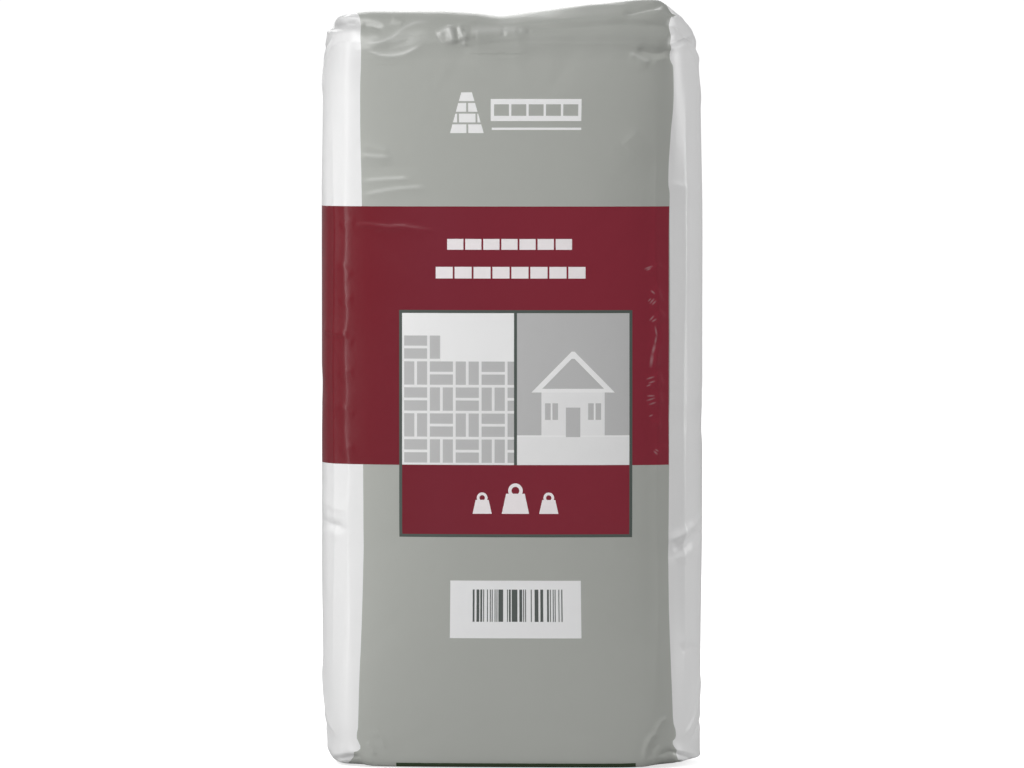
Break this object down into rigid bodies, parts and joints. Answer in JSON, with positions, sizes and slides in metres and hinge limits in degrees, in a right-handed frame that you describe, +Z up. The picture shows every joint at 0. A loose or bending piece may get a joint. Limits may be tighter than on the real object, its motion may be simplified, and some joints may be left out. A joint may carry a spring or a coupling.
{
  "type": "cement bag",
  "caption": "Filled block-bottom cement sack in glossy printed film, standing upright, with both ends folded shut under glued cover strips.",
  "frame": {"origin": "on the floor, under the middle of the standing sack's box", "axes": "+Z up along the sack, +X to the right as its printed front is seen, front face towards -Y"},
  "size_m": [0.267, 0.134, 0.5363],
  "materials": {
    "printed_film": "satin film, white, printed with a warm grey panel and a dark red band",
    "cover_strip": "plain white film, satin"
  },
  "bodies": {
    "root": {"filled_sack": "printed_film", "top_cover_strip": "cover_strip", "bottom_cover_strip": "cover_strip"}
  },
  "joints": []
}
